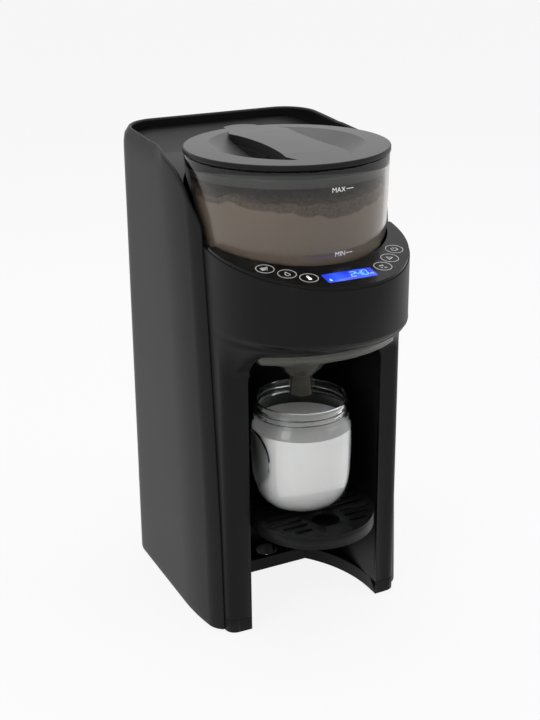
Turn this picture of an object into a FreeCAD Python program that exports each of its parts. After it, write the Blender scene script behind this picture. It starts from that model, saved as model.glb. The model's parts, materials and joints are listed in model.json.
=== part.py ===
import FreeCAD, Part
import math
import os
import Sketcher
from FreeCAD import Placement, Rotation, Vector

# Baby formula maker, millimetres, standing on z = 0 with its front facing -Y.
# The origin is under the middle of the machine's overall box.

doc = FreeCAD.newDocument("FormulaMaker")
sheet = doc.addObject("Spreadsheet::Sheet", "Sizes")
names = []
nodes = []


class Size:
    """A length, kept as its worth in millimetres and as the formula over the sheet that gives it."""

    def __init__(self, worth, formula):
        self.worth = float(worth)
        self.formula = formula

    def __add__(self, other):
        return Size(self.worth + worth(other), "(%s + %s)" % (self.formula, formula(other)))

    def __sub__(self, other):
        return Size(self.worth - worth(other), "(%s - %s)" % (self.formula, formula(other)))

    def __mul__(self, other):
        return Size(self.worth * worth(other), "(%s * %s)" % (self.formula, formula(other)))

    def __truediv__(self, other):
        return Size(self.worth / worth(other), "(%s / %s)" % (self.formula, formula(other)))

    def __neg__(self):
        return self * -1

    def __rsub__(self, other):
        return -self + other

    def __rtruediv__(self, other):
        return Size(other / self.worth, "(%s / %s)" % (formula(other), self.formula))

    __radd__ = __add__
    __rmul__ = __mul__


def worth(value):
    return value.worth if isinstance(value, Size) else float(value)


def formula(value):
    return value.formula if isinstance(value, Size) else "(%.6f)" % value


def size(name, value):
    """Write one driving dimension into the sheet and hand back its Size."""
    names.append(name)
    cell = "B%d" % len(names)
    sheet.set(cell, str(value))
    sheet.setAlias(cell, name)
    return Size(value, "Sizes." + name)


# Overall body
half_base = size("half_width_base", 93.2)
half_top = size("half_width_top", 90.4)
half_depth = size("half_depth", 132)
height = size("overall_height", 394)
shell_wall = size("shell_wall", 3.2)
corner = size("rear_corner_radius", 34)
wall = size("housing_wall", 2.5)
gap = size("part_clearance", 0.3)
snug = size("seat_clearance", 0.2)
run = size("running_clearance", 0.05)

# Stand
foot_lift = size("foot_lift", 1.5)
base_top = size("base_top", 13)
leg_front = size("leg_front", 64)
leg_round = size("leg_front_radius", 10)
house_half = size("housing_half_width", 79.5)
house_rear = size("housing_rear", 60)

# Bottle bay
bay_half = size("bay_half_width", 59)
bay_top = size("bay_height", 234)
bay_rear = size("bay_rear", 48)
bay_round = size("bay_corner_radius", 12)
arch_rear = size("arch_rear", 18)
arch_half = size("arch_half_width", 33)
drain_rad = size("drain_hole_radius", 10)
drain_y = size("drain_hole_y", 31)

# Head
nose_rad = size("nose_radius", 70)
flank_y = size("flank_start", 39.5)
head_low = size("head_low", 226)
head_full = size("head_full", 268)
slot_top = size("funnel_slot_top", 250)
slot_half = size("funnel_slot_half", 58)
slot_rear = size("funnel_slot_rear", 12)
tilt = size("panel_tilt", 9.4)
panel_mid = size("panel_height_at_middle", 332.5)
panel_thick = size("panel_thickness", 2.6)

# Hopper and lid
lid_y = size("lid_centre_y", -14)
lid_rad = size("lid_radius", 80)
lid_top = size("lid_top", 391.5)
lid_thick = size("lid_thickness", 4)
hop_foot_y = size("hopper_foot_y", -19)
hop_foot_z = size("hopper_foot_z", 308)
hop_foot_rad = size("hopper_foot_radius", 74)
hop_top_rad = size("hopper_top_radius", 79.2)
hop_wall = size("hopper_wall", 2.4)
shaft_rad = size("drive_shaft_radius", 4)
dish_drop = size("dish_drop", 8)
lid_dome = size("lid_dome", 2.4)
scoop_deep = size("scoop_depth", 16)
scoop_rad = size("scoop_radius", 66)
bar_half = size("bar_half_width", 27)

# Funnel, bottle and tray
spout_y = size("spout_y", -37.7)
spout_rad = size("spout_radius", 9.4)
spout_low = size("spout_low", 193.5)
cone_low = size("cone_low", 209)
funnel_low = size("funnel_plate_low", 243)
funnel_wall = size("funnel_wall", 2)
lip_rad = size("funnel_lip_radius", 96)
lip_front = size("funnel_lip_front", 103.5)
tray_top = size("tray_top", 97.7)
tray_deep = size("tray_depth", 11)
tray_rad = size("tray_radius", 50.4)
tray_y = size("tray_round_y", -60)
tray_wall = size("tray_wall", 2)
grille_thick = size("grille_thickness", 2.4)
slot_wide = size("grille_slot_width", 3.4)
finger_rad = size("finger_hole_radius", 11.8)
bottle_rad = size("bottle_radius", 43.2)
bottle_tall = size("bottle_height", 92.2)
neck_rad = size("bottle_neck_radius", 38.4)
thread_out_by = size("bottle_thread_depth", 1.8)
glass = size("bottle_wall", 2)

# Panel furniture
button_rad = size("button_radius", 7.1)
lcd_half = size("display_half_width", 20.2)
lcd_deep = size("display_depth", 13.4)
lcd_y = size("display_middle_y", -114.1)

# Water side
tank_front = size("tank_front", 86)
tank_split = size("tank_split", 109)
tank_waist = size("tank_waist_half_width", 84.8)
tank_low = size("tank_low", 76)
tank_high = size("tank_high", 333)
tank_wall = size("tank_wall", 2.4)
tank_inset = size("tank_inset", 1)
tube_rad = size("water_tube_radius", 3.5)


def pinned(sketch, places):
    """Lock each listed end of the sketch at its place, with the place's formula on the constraint."""
    wanted = []
    for edge, end, kind, place in places:
        if isinstance(place, Size) or place:
            low_first = worth(place) >= 0
            ends = (-1, 1, edge, end) if low_first else (edge, end, -1, 1)
            rule = Sketcher.Constraint(kind, *ends, abs(worth(place)))
            wanted.append((rule, formula(place) if low_first else "-%s" % formula(place)))
        else:
            axis = -2 if kind == "DistanceX" else -1
            wanted.append((Sketcher.Constraint("PointOnObject", edge, end, axis), None))
    for rule, text in wanted:
        index = sketch.addConstraint(rule)
        if text:
            sketch.setExpression("Constraints[%d]" % index, text)


def bow(start, stop, radius):
    """The arc of a signed radius between two points: a positive radius turns left on the way."""
    along = stop - start
    half = along.Length / 2
    side = Vector(-along.y, along.x, 0).normalize() * math.copysign(1, radius)
    centre = (start + stop) * 0.5 + side * math.sqrt(max(radius * radius - half * half, 0))
    first, last = (start, stop) if radius > 0 else (stop, start)
    angles = [math.atan2(p.y - centre.y, p.x - centre.x) for p in (first, last)]
    return Part.ArcOfCircle(Part.Circle(centre, Vector(0, 0, 1), abs(radius)), *angles)


def draw(sketch, points):
    """Close an outline through the points; a third value is the radius of the arc that ends there."""
    spots = [Vector(worth(p[0]), worth(p[1]), 0) for p in points]
    ends = []
    bends = []
    for i, point in enumerate(points):
        start = spots[i - 1]
        if len(point) > 2:
            radius = worth(point[2])
            edge = sketch.addGeometry(bow(start, spots[i], radius), False)
            ends.append((edge, 1, 2) if radius > 0 else (edge, 2, 1))
            bends.append((edge, point[2] if radius > 0 else -point[2]))
        else:
            edge = sketch.addGeometry(Part.LineSegment(start, spots[i]), False)
            ends.append((edge, 1, 2))
    for i, (edge, _, stop) in enumerate(ends):
        after, start, _ = ends[(i + 1) % len(ends)]
        sketch.addConstraint(Sketcher.Constraint("Coincident", edge, stop, after, start))
    places = []
    for (edge, _, stop), point in zip(ends, points):
        places.append((edge, stop, "DistanceX", point[0]))
        places.append((edge, stop, "DistanceY", point[1]))
    pinned(sketch, places)
    for edge, radius in bends:
        index = sketch.addConstraint(Sketcher.Constraint("Radius", edge, worth(radius)))
        sketch.setExpression("Constraints[%d]" % index, formula(radius))
    return sketch


def place(thing, x=0, y=0, z=0):
    """Bind the base of a thing's Placement to three values."""
    for axis, value in zip("xyz", (x, y, z)):
        if isinstance(value, Size):
            thing.setExpression("Placement.Base." + axis, formula(value))
    thing.Placement.Base = Vector(worth(x), worth(y), worth(z))
    return thing


def plan(points, z=0):
    """An outline seen from above, at height z."""
    return place(draw(doc.addObject("Sketcher::SketchObject", "Plan"), points), 0, 0, z)


def ring_plan(radius, y, z):
    """A circle seen from above."""
    sketch = doc.addObject("Sketcher::SketchObject", "Circle")
    sketch.addGeometry(Part.Circle(Vector(0, worth(y), 0), Vector(0, 0, 1), worth(radius)), False)
    index = sketch.addConstraint(Sketcher.Constraint("Radius", 0, worth(radius)))
    sketch.setExpression("Constraints[%d]" % index, formula(radius))
    pinned(sketch, [(0, 3, "DistanceX", 0), (0, 3, "DistanceY", y)])
    return place(sketch, 0, 0, z)


def profile(points, y=0):
    """An outline in X and Z, on the plane at y."""
    sketch = draw(doc.addObject("Sketcher::SketchObject", "Profile"), points)
    sketch.Placement = Placement(Vector(), Rotation(Vector(1, 0, 0), 90))
    return place(sketch, 0, y, 0)


def side_view(points, x=0):
    """An outline in Y and Z, on the plane at x."""
    sketch = draw(doc.addObject("Sketcher::SketchObject", "Side"), points)
    sketch.Placement = Placement(Vector(), Rotation(0.5, 0.5, 0.5, 0.5))
    return place(sketch, x, 0, 0)


def extrude(sketch, length, way=Vector(0, 0, 1)):
    solid = doc.addObject("Part::Extrusion", "Prism")
    solid.Base = sketch
    solid.DirMode = "Custom"
    solid.Dir = way
    solid.Solid = True
    solid.LengthFwd = worth(length)
    if isinstance(length, Size):
        solid.setExpression("LengthFwd", formula(length))
    return solid


def across(points, half):
    """A side view carried across the machine, from -half to half."""
    return extrude(side_view(points, -half), half * 2, Vector(1, 0, 0))


def turned(points, y):
    """A profile turned about the vertical line x = 0 at y."""
    solid = doc.addObject("Part::Revolution", "Turned")
    solid.Source = profile(points, y)
    solid.Axis = Vector(0, 0, 1)
    solid.Angle = 360
    solid.Solid = True
    solid.Base = Vector(0, worth(y), 0)
    if isinstance(y, Size):
        solid.setExpression("Base.y", formula(y))
    return solid


def loft(sections, ruled=False):
    solid = doc.addObject("Part::Loft", "Loft")
    solid.Sections = sections
    solid.Solid = True
    solid.Ruled = ruled
    return solid


def bound(thing, **sizes):
    for key, value in sizes.items():
        setattr(thing, key, worth(value))
        if isinstance(value, Size):
            thing.setExpression(key, formula(value))
    return thing


def box(x, y, z):
    """A box between the low and high value of each axis."""
    solid = doc.addObject("Part::Box", "Block")
    bound(solid, Length=x[1] - x[0], Width=y[1] - y[0], Height=z[1] - z[0])
    return place(solid, x[0], y[0], z[0])


AXES = {"x": Rotation(Vector(0, 1, 0), 90), "y": Rotation(Vector(1, 0, 0), -90), "z": Rotation()}


def rod(x, y, z, radius, length, axis="z"):
    """A cylinder that starts at the point and runs along the axis."""
    solid = doc.addObject("Part::Cylinder", "Rod")
    bound(solid, Radius=radius, Height=length)
    solid.Placement.Rotation = AXES[axis]
    return place(solid, x, y, z)


def cone(x, y, z, low, high, length):
    solid = doc.addObject("Part::Cone", "Cone")
    bound(solid, Radius1=low, Radius2=high, Height=length)
    return place(solid, x, y, z)


def fuse(*things):
    solid = doc.addObject("Part::MultiFuse", "Fuse")
    solid.Shapes = list(things)
    return solid


def common(*things):
    solid = doc.addObject("Part::MultiCommon", "Common")
    solid.Shapes = list(things)
    return solid


def cut(base, *tools):
    solid = doc.addObject("Part::Cut", "Cut")
    solid.Base = base
    solid.Tool = tools[0] if len(tools) == 1 else fuse(*tools)
    return solid


def node(name, thing):
    """Keep a finished sub-part under the name that its file takes."""
    thing.Label = name
    nodes.append(thing)
    return thing


def lean(thing):
    """Tip a thing by the panel's tilt, about the line where the panel's plane crosses y = 0."""
    holder = doc.addObject("Part::Compound", "Leaning")
    holder.Links = [thing]
    holder.Placement = Placement(Vector(0, 0, worth(panel_mid)), Rotation(Vector(1, 0, 0), worth(tilt)))
    holder.setExpression("Placement.Base.z", formula(panel_mid))
    holder.setExpression("Placement.Rotation.Angle", formula(tilt))
    return holder


def along(y):
    """Distance down the sloping panel of a point that is y away in plan."""
    return Size(worth(y) / math.cos(math.radians(tilt.worth)), "(%s / cos(%s * 1deg))" % (formula(y), tilt.formula))


def half_chord(radius, away):
    """Half the width of a circle, measured at a distance from its middle."""
    value = math.sqrt(worth(radius) ** 2 - worth(away) ** 2)
    return Size(value, "sqrt(%s ^ 2 - %s ^ 2)" % (formula(radius), formula(away)))


REACH = 200


def rear_plan(half, front, rear, bend):
    """A plan with a straight front and two round rear corners, symmetric about x = 0."""
    return [(-half, rear - bend, bend), (-half, front), (half, front), (half, rear - bend),
            (half - bend, rear, bend), (bend - half, rear)]


# Outer shell: side and rear walls whose front edges roll in towards the front housing
edge_heights = [(0, 56.5), (110, 52.5), (180, 48), (240, 43), (300, 38), (350, 31), (396, 20)]


def shell_section(z, front, inset):
    """Plan of the shell's outside at a height, drawn in by inset."""
    share = z / 394
    half = half_base * (1 - share) + half_top * share - inset
    rear = half_depth - inset
    bend = corner - inset
    front_y = inset - front
    nose = 16 - inset
    shoulder = front_y + 15.5
    waist = shoulder + 41
    inner = half - 19.4
    outer = half - 3.8
    points = [(-half, rear - bend, bend), (-half, waist), (-outer, shoulder, 222), (-inner, front_y, nose + 1.5),
              (inner, front_y), (outer, shoulder, nose + 1.5), (half, waist, 222), (half, rear - bend),
              (half - bend, rear, bend), (bend - half, rear)]
    return plan(points, foot_lift + z)


def shell_body(inset):
    return loft([shell_section(z, front, inset) for z, front in edge_heights])


rim_curve = [(-REACH, -10), (half_depth + 10, -10), (half_depth + 10, height), (half_depth, height),
             (58, height - 4, 1400), (0, height - 16.5, 118), (-36, height - 76, 92), (-44, height - 94),
             (-REACH, height - 94)]
shell_hollow = cut(shell_body(0), shell_body(shell_wall))
front_mouth = box((-house_half - gap, house_half + gap), (-REACH, 30), (-5, height + 5))
tank_window = box((-REACH, REACH), (tank_split - gap, REACH), (tank_low - gap, tank_high + gap))
inlet_x = 40
inlet_low = base_top + 8
inlet_window = box((inlet_x - 12, inlet_x + 12), (half_depth - 20, REACH), (inlet_low + 3, inlet_low + 21))
node("outer_shell", cut(common(shell_hollow, across(rim_curve, 120)), front_mouth, tank_window, inlet_window))

# Front housing: two legs that flow into a round head over the bottle bay
flat_rad = 2000


def housing_section(share, inset):
    """Plan of the housing between the legs' outline (share 0) and the head's (share 1)."""
    nose = 1 / ((1 - share) / flat_rad + share / nose_rad) - inset
    front = -leg_front * (1 - share) - half_depth * share + inset
    start = (leg_round - leg_front) * (1 - share) - flank_y * share
    half = house_half - inset
    middle = front + nose
    drop = middle - start
    flank = (half * half + drop * drop - nose * nose) / ((half - nose) * 2)
    reach = nose / (nose - flank)
    join_x = (half - flank) * reach
    join_y = middle + (start - middle) * reach
    return [(-half, house_rear), (-half, start), (-join_x, join_y, flank), (join_x, join_y, nose),
            (half, start, flank), (half, house_rear)]


swell = [(0, 0), (0.19, 0.06), (0.36, 0.22), (0.57, 0.53), (0.76, 0.83), (0.9, 0.96), (1, 1)]


def housing_body(inset, low, high):
    rise = head_full - head_low
    legs = extrude(plan(housing_section(0, inset), low), head_low - low)
    flow = loft([plan(housing_section(share, inset), head_low + rise * part) for part, share in swell])
    head = extrude(plan(housing_section(1, inset), head_full), high - head_full)
    return fuse(legs, flow, head)


def bay_tunnel(grow, rear):
    """The bottle bay: a tunnel with round upper corners, open to the front."""
    half = bay_half + grow
    top = bay_top + grow
    bend = bay_round + grow
    points = [(-half, -5), (half, -5), (half, top - bend), (half - bend, top, bend), (bend - half, top),
              (-half, top - bend, bend)]
    return extrude(profile(points, rear), rear + REACH, Vector(0, -1, 0))


def above_panel(drop):
    """All that lies over the sloping panel's upper face, lowered by drop."""
    return lean(box((-REACH, REACH), (-2 * REACH, REACH), (-drop, REACH)))


bay_cut = fuse(bay_tunnel(0, bay_rear + wall + 5),
               box((-slot_half, slot_half), (-REACH, slot_rear), (bay_top - 5, slot_top)))
bay_skin = fuse(bay_tunnel(wall, bay_rear + wall + 5),
                box((-slot_half - wall, slot_half + wall), (-REACH, slot_rear + wall), (bay_top - 5, slot_top + wall)))
recess_rad = hop_foot_rad + 2
recess_low = hop_foot_z - 3.5
recess_wall = rod(0, hop_foot_y, recess_low - wall, recess_rad + wall, REACH)
recess_hole = rod(0, hop_foot_y, recess_low, recess_rad, REACH)
recess_room = rod(0, hop_foot_y, recess_low - wall - snug, recess_rad + wall + snug, REACH)
behind_bay = box((-REACH, REACH), (bay_rear + gap, REACH), (-5, recess_low - wall - 1))
behind_head = box((-REACH, REACH), (-15, REACH), (hop_foot_z + 21, 2 * REACH))
housing_inside = cut(housing_body(wall, base_top - 1, height), above_panel(panel_thick + wall))
housing_outside = cut(housing_body(0, base_top + gap, height), bay_cut, above_panel(panel_thick), recess_room,
                      behind_bay, behind_head)

button_places = []
for name, x, y in (("power", 54.5, -85.9), ("start", 42.9, -98.4), ("unit", 30.7, -109.1),
                   ("temperature", -30.7, -109.1), ("water", -42.9, -98.4), ("powder", -54.5, -85.9)):
    button_places.append((name, size(name + "_button_x", x), size(name + "_button_y", y)))

button_wells = [lean(rod(x, along(y), -20, button_rad + gap, 30)) for _, x, y in button_places]
lcd_well = lean(box((-lcd_half - gap, lcd_half + gap), (along(lcd_y - lcd_deep / 2) - gap, along(lcd_y + lcd_deep / 2) + gap),
                    (-20, 10)))
board_drop = 9
posts = [lean(rod(x, along(-101), gap - board_drop, 3, board_drop - panel_thick - wall)) for x in (-12, 12)]
board_posts = common(fuse(*posts), housing_body(wall, head_full, height))
chute_y = hop_foot_y - 30
nozzle_y = hop_foot_y + 14
deck_holes = [rod(0, hop_foot_y, recess_low - 10, shaft_rad + 0.6, 20), rod(0, chute_y, recess_low - 10, 12 + gap, 20),
              rod(0, chute_y, slot_top - 5, 10, 12), rod(-24, nozzle_y, slot_top - 5, 2.5, 12)]
node("front_housing", cut(fuse(cut(housing_outside, housing_inside), board_posts), *button_wells, lcd_well))

# Two mouldings inside the housing: the bay's lining and the round cradle that takes the hopper
liner_room = housing_body(wall + snug, base_top + gap, height)
node("bay_liner", cut(common(bay_skin, liner_room), bay_cut, behind_bay, *deck_holes))
node("hopper_cradle", cut(common(recess_wall, liner_room), recess_hole, above_panel(panel_thick), behind_head,
                          *deck_holes))

# Control panel, a glossy crescent let into the head's sloping top
panel_round = extrude(plan(housing_section(1, 0.7)[1:5], head_full), REACH)
panel_slab = lean(box((-REACH, REACH), (-2 * REACH, REACH), (0.1 - panel_thick, 0)))
node("control_panel", cut(common(panel_round, panel_slab), rod(0, hop_foot_y, recess_low, recess_rad, REACH),
                          *button_wells, lcd_well))

for name, x, y in button_places:
    cap = fuse(rod(x, along(y), -4, button_rad, 4), rod(x, along(y), 0.8 - board_drop, 2.5, board_drop - 4))
    node(name + "_button", lean(cap))

lcd_rows = (along(lcd_y - lcd_deep / 2), along(lcd_y + lcd_deep / 2))
node("display_window", lean(box((-lcd_half, lcd_half), lcd_rows, (-1.4, 0))))
node("display_module", lean(box((-lcd_half, lcd_half), lcd_rows, (0.2 - board_drop, -1.6))))
board_shape = common(extrude(plan(housing_section(1, wall + 1.5), head_full), REACH),
                     lean(box((-REACH, REACH), (along(-half_depth), along(-86)), (-board_drop - 1.6, -board_drop))))
board_cut = rod(0, hop_foot_y, head_full - 10, recess_rad + wall + 1, REACH)
node("control_board", cut(board_shape, board_cut))

# Deck behind and beside the hopper, dished below the shell's rim
dish_top = [(half_depth - shell_wall - gap, height - dish_drop), (70, height - dish_drop - 11, -140),
            (10, height - dish_drop - 27, 220), (-12, height - dish_drop - 54, 120)]
dish_low = [(y, z - wall) for y, z in [p[:2] for p in dish_top]]
dish_band = dish_top + [dish_low[3], dish_low[2] + (-120,), dish_low[1] + (-220,), dish_low[0] + (140,)]
deck_half = half_top - shell_wall - gap
deck_rear = half_depth - shell_wall - gap
deck_bend = corner - shell_wall
deck_plan = [(-deck_half, deck_rear - deck_bend, deck_bend), (-deck_half, 34), (4.8 - deck_half, -13),
             (deck_half - 4.8, -13), (deck_half, 34), (deck_half, deck_rear - deck_bend),
             (deck_half - deck_bend, deck_rear, deck_bend), (deck_bend - deck_half, deck_rear)]
deck_hole = rod(0, lid_y, 300, lid_rad + 0.4, 200)
node("top_deck", cut(common(across(dish_band, 100), extrude(plan(deck_plan, 300), 150)), deck_hole))

# Base: floor of the machine with the arch between the legs
base_wall = shell_wall + gap
base_half = half_base - base_wall
base_rear = half_depth - base_wall
base_bend = corner - base_wall
base_inside = [(-base_half, base_rear - base_bend, base_bend), (-base_half, 4), (gap - house_half, 16 - leg_front),
               (house_half - gap, 16 - leg_front), (base_half, 4), (base_half, base_rear - base_bend),
               (base_half - base_bend, base_rear, base_bend), (base_bend - base_half, base_rear)]
base_legs = extrude(plan(housing_section(0, 0), foot_lift), base_top - foot_lift)
base_block = fuse(extrude(plan(base_inside, foot_lift), base_top - foot_lift), base_legs)
arch = extrude(plan([(-arch_half, arch_rear), (-bay_half, 10 - leg_front, 110), (-bay_half, -REACH), (bay_half, -REACH),
                     (bay_half, 10 - leg_front), (arch_half, arch_rear, 110)], -5), base_top + 10)
hollow_low = box((-70, 70), (arch_rear + 45, 120), (-5, base_top - 4))
drain = rod(0, drain_y, -5, drain_rad, 30)
feet_spots = [(-68.5, -38), (68.5, -38), (-72, 96), (72, 96)]
foot_wells = [rod(x, y, foot_lift - 1, 7 + gap, 3) for x, y in feet_spots]
screw_spots = [(-50, 45), (50, 45), (-82, 10), (82, 10)]
screw_low = foot_lift + 0.5


def screw(x, y, grow):
    """One base screw, head down; grow widens it into the hole that takes it."""
    return fuse(rod(x, y, screw_low - grow * 2, 3.4 + grow, 2.4 + grow * 2),
                rod(x, y, screw_low + 2, 1.6 + grow, 8 + grow))


screw_wells = [screw(x, y, gap) for x, y in screw_spots]
node("base_plate", cut(base_block, arch, hollow_low, drain, *foot_wells, *screw_wells))
node("base_screws", fuse(*[screw(x, y, 0) for x, y in screw_spots]))
foot_tall = foot_lift + 2 - gap
node("rubber_feet", fuse(*[rod(x, y, 0, 7, foot_tall) for x, y in feet_spots]))

# Bay back wall, hopper seat and rear bulkhead
node("bay_back", box((-bay_half - 12, bay_half + 12), (bay_rear + gap * 2, bay_rear + gap * 2 + wall),
                     (base_top + gap, slot_top + wall + 3)))
seat_disc = rod(0, hop_foot_y, hop_foot_z - 3.2, recess_rad - gap, 3)
seat_holes = [rod(0, hop_foot_y, 290, shaft_rad + 0.6, 40), rod(0, chute_y, 290, 12 + gap, 40)]
node("hopper_seat", cut(seat_disc, *seat_holes))
node("rear_bulkhead", box((-deck_half + 3, deck_half - 3), (tank_front - wall - gap, tank_front - gap),
                          (base_top + gap, 370)))

# Hopper: a smoky bowl that sits in the head
hop_rise = lid_top - lid_thick - hop_foot_z - gap
hop_steps = [(0, hop_foot_rad, hop_foot_y), (0.27, hop_foot_rad + 0.9, hop_foot_y),
             (0.6, hop_foot_rad + 3.2, hop_foot_y + 2.3), (0.88, hop_top_rad - 0.1, lid_y - 0.1),
             (1, hop_top_rad, lid_y)]


def bowl(inset, low, high):
    """The hopper's outside, drawn in by inset; the two ends are run on by low and high."""
    sections = []
    for share, radius, y in hop_steps:
        z = hop_foot_z + hop_rise * share
        if share == 0:
            z = z + low
        if share == 1:
            z = z + high
        sections.append(ring_plan(radius - inset, y, z))
    return loft(sections, ruled=True)


floor_thick = 3
hopper_holes = [rod(0, hop_foot_y, 290, shaft_rad + 0.6, 40), rod(0, chute_y, 290, 11, 40)]
node("hopper", cut(bowl(0, 0, 0), bowl(hop_wall, floor_thick, 2), *hopper_holes))

# Lid with a bar handle between two scooped pockets
lid_low = lid_top - lid_thick
skirt = [(lid_rad - 6, lid_low - 8), (lid_rad - 4.2, lid_low - 8), (lid_rad - 4.2, lid_low), (lid_rad, lid_low),
         (lid_rad, lid_top - 1), (lid_rad - 1, lid_top, 1), (45, lid_top + lid_dome * 0.7), (0, lid_top + lid_dome),
         (0, lid_low - 1.5),
         (lid_rad - 6, lid_low - 1.5)]
lid_disc = turned(skirt, lid_y)
scoop_mid = -8
ball_rad = (scoop_rad * scoop_rad + scoop_deep * scoop_deep) / (scoop_deep * 2)


def scoop(side, grow):
    """One hand pocket: its floor is part of a ball, deepest beside the bar's drawn-in side."""
    start = lid_y + side * (56 + grow)
    stop = lid_y - side * (56 + grow)
    points = [(side * (bar_half - grow), start), (side * (bar_half - grow), stop, 274), (side * 75, stop),
              (side * 75, start)]
    lens = extrude(plan(points, lid_top - scoop_deep - 5), scoop_deep + 5 + (10 if grow == 0 else -0.5))
    ball = bound(doc.addObject("Part::Sphere", "Ball"), Radius=ball_rad + grow)
    if side > 0:
        ball.Placement.Rotation = Rotation(Vector(0, 0, 1), 180)
    place(ball, side * scoop_mid, lid_y, lid_top + ball_rad - scoop_deep)
    return common(lens, ball)


pockets = [scoop(side, 0) for side in (-1, 1)]
pocket_cups = [scoop(side, 2) for side in (-1, 1)]
ear = common(rod(0, lid_y + lid_rad - 4, lid_low, 18, 3), box((-15, 15), (lid_y + lid_rad - 8, 200), (0, 400)))
node("hopper_lid", cut(fuse(lid_disc, *pocket_cups, ear), *pockets))
node("lid_seal", turned([(lid_rad - 8.4, lid_low - 4.5), (lid_rad - 6.2, lid_low - 4.5), (lid_rad - 6.2, lid_low - 1.8),
                         (lid_rad - 8.4, lid_low - 1.8)], lid_y))

# Dosing drive: motor, pinion and wheel gear turn the shaft under the hopper
module = size("gear_module", 0.8)
wheel_teeth = 40
pinion_teeth = 14
gear_low = size("gear_low", 276)
gear_thick = size("gear_thickness", 7)


def gear_wire(teeth, pitch_step):
    """Involute gear outline: each flank unrolls from the base circle, with backlash at the pitch circle."""
    pitch = pitch_step * teeth / 2
    base = pitch * math.cos(math.radians(20))
    tip = pitch + pitch_step
    root = pitch - 1.25 * pitch_step
    lean_in = math.tan(math.radians(20)) - math.radians(20)
    half = math.pi / (2 * teeth) - 0.06 / pitch + lean_in
    ring = []
    for tooth in range(teeth):
        middle = 2 * math.pi * tooth / teeth
        flank = []
        for step in range(4):
            radius = max(base, root) + (tip - max(base, root)) * step / 3
            unroll = math.sqrt(max((radius / base) ** 2 - 1, 0))
            flank.append((radius, half - (unroll - math.atan(unroll))))
        rise = [(root, flank[0][1])] + flank
        for radius, turn in rise:
            ring.append(Vector(radius * math.cos(middle - turn), radius * math.sin(middle - turn), 0))
        for radius, turn in reversed(rise):
            ring.append(Vector(radius * math.cos(middle + turn), radius * math.sin(middle + turn), 0))
    return Part.makePolygon(ring + ring[:1])


def gear(teeth, x, y, bore, turn):
    """A gear blank with its bore, in its place on the machine."""
    blank = Part.Face(gear_wire(teeth, module.worth)).extrude(Vector(0, 0, gear_thick.worth))
    blank = blank.cut(Part.makeCylinder(bore, 50, Vector(0, 0, -5)))
    thing = doc.addObject("Part::Feature", "Gear")
    thing.Shape = blank
    thing.Placement = Placement(Vector(worth(x), worth(y), gear_low.worth), Rotation(Vector(0, 0, 1), turn))
    return thing


centres = module * (wheel_teeth + pinion_teeth) / 2
node("wheel_gear", gear(wheel_teeth, 0, hop_foot_y, shaft_rad.worth + 0.02, 0))
node("motor_pinion", gear(pinion_teeth, centres, hop_foot_y, 2.52, 180 + 180 / pinion_teeth))
shaft_low = slot_top + wall + gap
node("drive_shaft", fuse(rod(0, hop_foot_y, shaft_low, shaft_rad, hop_foot_z + 20 - shaft_low),
                         rod(0, hop_foot_y, gear_low - 2.2, shaft_rad + 2, 2)))
motor_top = gear_low - 3
node("gear_motor", fuse(rod(centres, hop_foot_y, shaft_low, 14, motor_top - shaft_low),
                        rod(centres, hop_foot_y, motor_top - 1, 2.5, gear_thick + 5)))

# Powder wheel with its pockets, and the stirrer above it, inside the hopper
wheel_low = hop_foot_z + floor_thick + snug
wheel_tall = 8
wheel_rad = hop_foot_rad - hop_wall - 3
wheel_round = rod(0, hop_foot_y, wheel_low, wheel_rad, wheel_tall)
pocket_ring = []
for turn in range(10):
    angle = math.radians(36 * turn - 90)
    pocket_ring.append(rod(30 * math.cos(angle), hop_foot_y + 30 * math.sin(angle), wheel_low - 1, 8, 20))
bore_gap = shaft_rad + run
node("powder_wheel", cut(wheel_round, rod(0, hop_foot_y, 300, bore_gap, 40), *pocket_ring))
stir_low = wheel_low + wheel_tall + snug
stir_hub = cut(fuse(rod(0, hop_foot_y, stir_low, 9, 14), box((-62, 62), (hop_foot_y - 3, hop_foot_y + 3), (stir_low, stir_low + 4)),
                    box((-62, -58), (hop_foot_y - 3, hop_foot_y + 3), (stir_low, stir_low + 22)),
                    box((58, 62), (hop_foot_y - 3, hop_foot_y + 3), (stir_low, stir_low + 22))),
               rod(0, hop_foot_y, 300, bore_gap, hop_foot_z + 20 + snug - 300))
node("stirrer", stir_hub)

# Powder chute and water nozzle over the funnel
chute_low = slot_top + wall + gap
chute_tall = hop_foot_z - gap - chute_low
node("powder_chute", cut(rod(0, chute_y, chute_low, 12, chute_tall), rod(0, chute_y, chute_low - 5, 10, 80)))

# Funnel: a plate that slides under the head, with a cone and spout
plate_half = slot_half - gap
plate_rear = slot_rear - 4
plate_high = slot_top - gap


def funnel_plan(inset, z):
    """Outline of the funnel's plate: a bowed front, straight sides and rear."""
    half = plate_half - inset
    side_y = inset - 83
    return plan([(-half, plate_rear - inset), (-half, side_y), (half, side_y, lip_rad - inset), (half, plate_rear - inset)], z)


funnel_outer = fuse(extrude(funnel_plan(0, funnel_low), plate_high - funnel_low),
                    cone(0, spout_y, cone_low, spout_rad, 44, funnel_low - cone_low + 0.5),
                    rod(0, spout_y, spout_low, spout_rad, cone_low - spout_low + 0.5))
funnel_inner = fuse(extrude(funnel_plan(funnel_wall, funnel_low + funnel_wall), 20),
                    cone(0, spout_y, cone_low + 0.8, spout_rad - funnel_wall, 42, funnel_low - cone_low + 1.7),
                    rod(0, spout_y, spout_low - 5, spout_rad - funnel_wall, cone_low - spout_low + 6))
node("funnel", cut(funnel_outer, funnel_inner))

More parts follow.
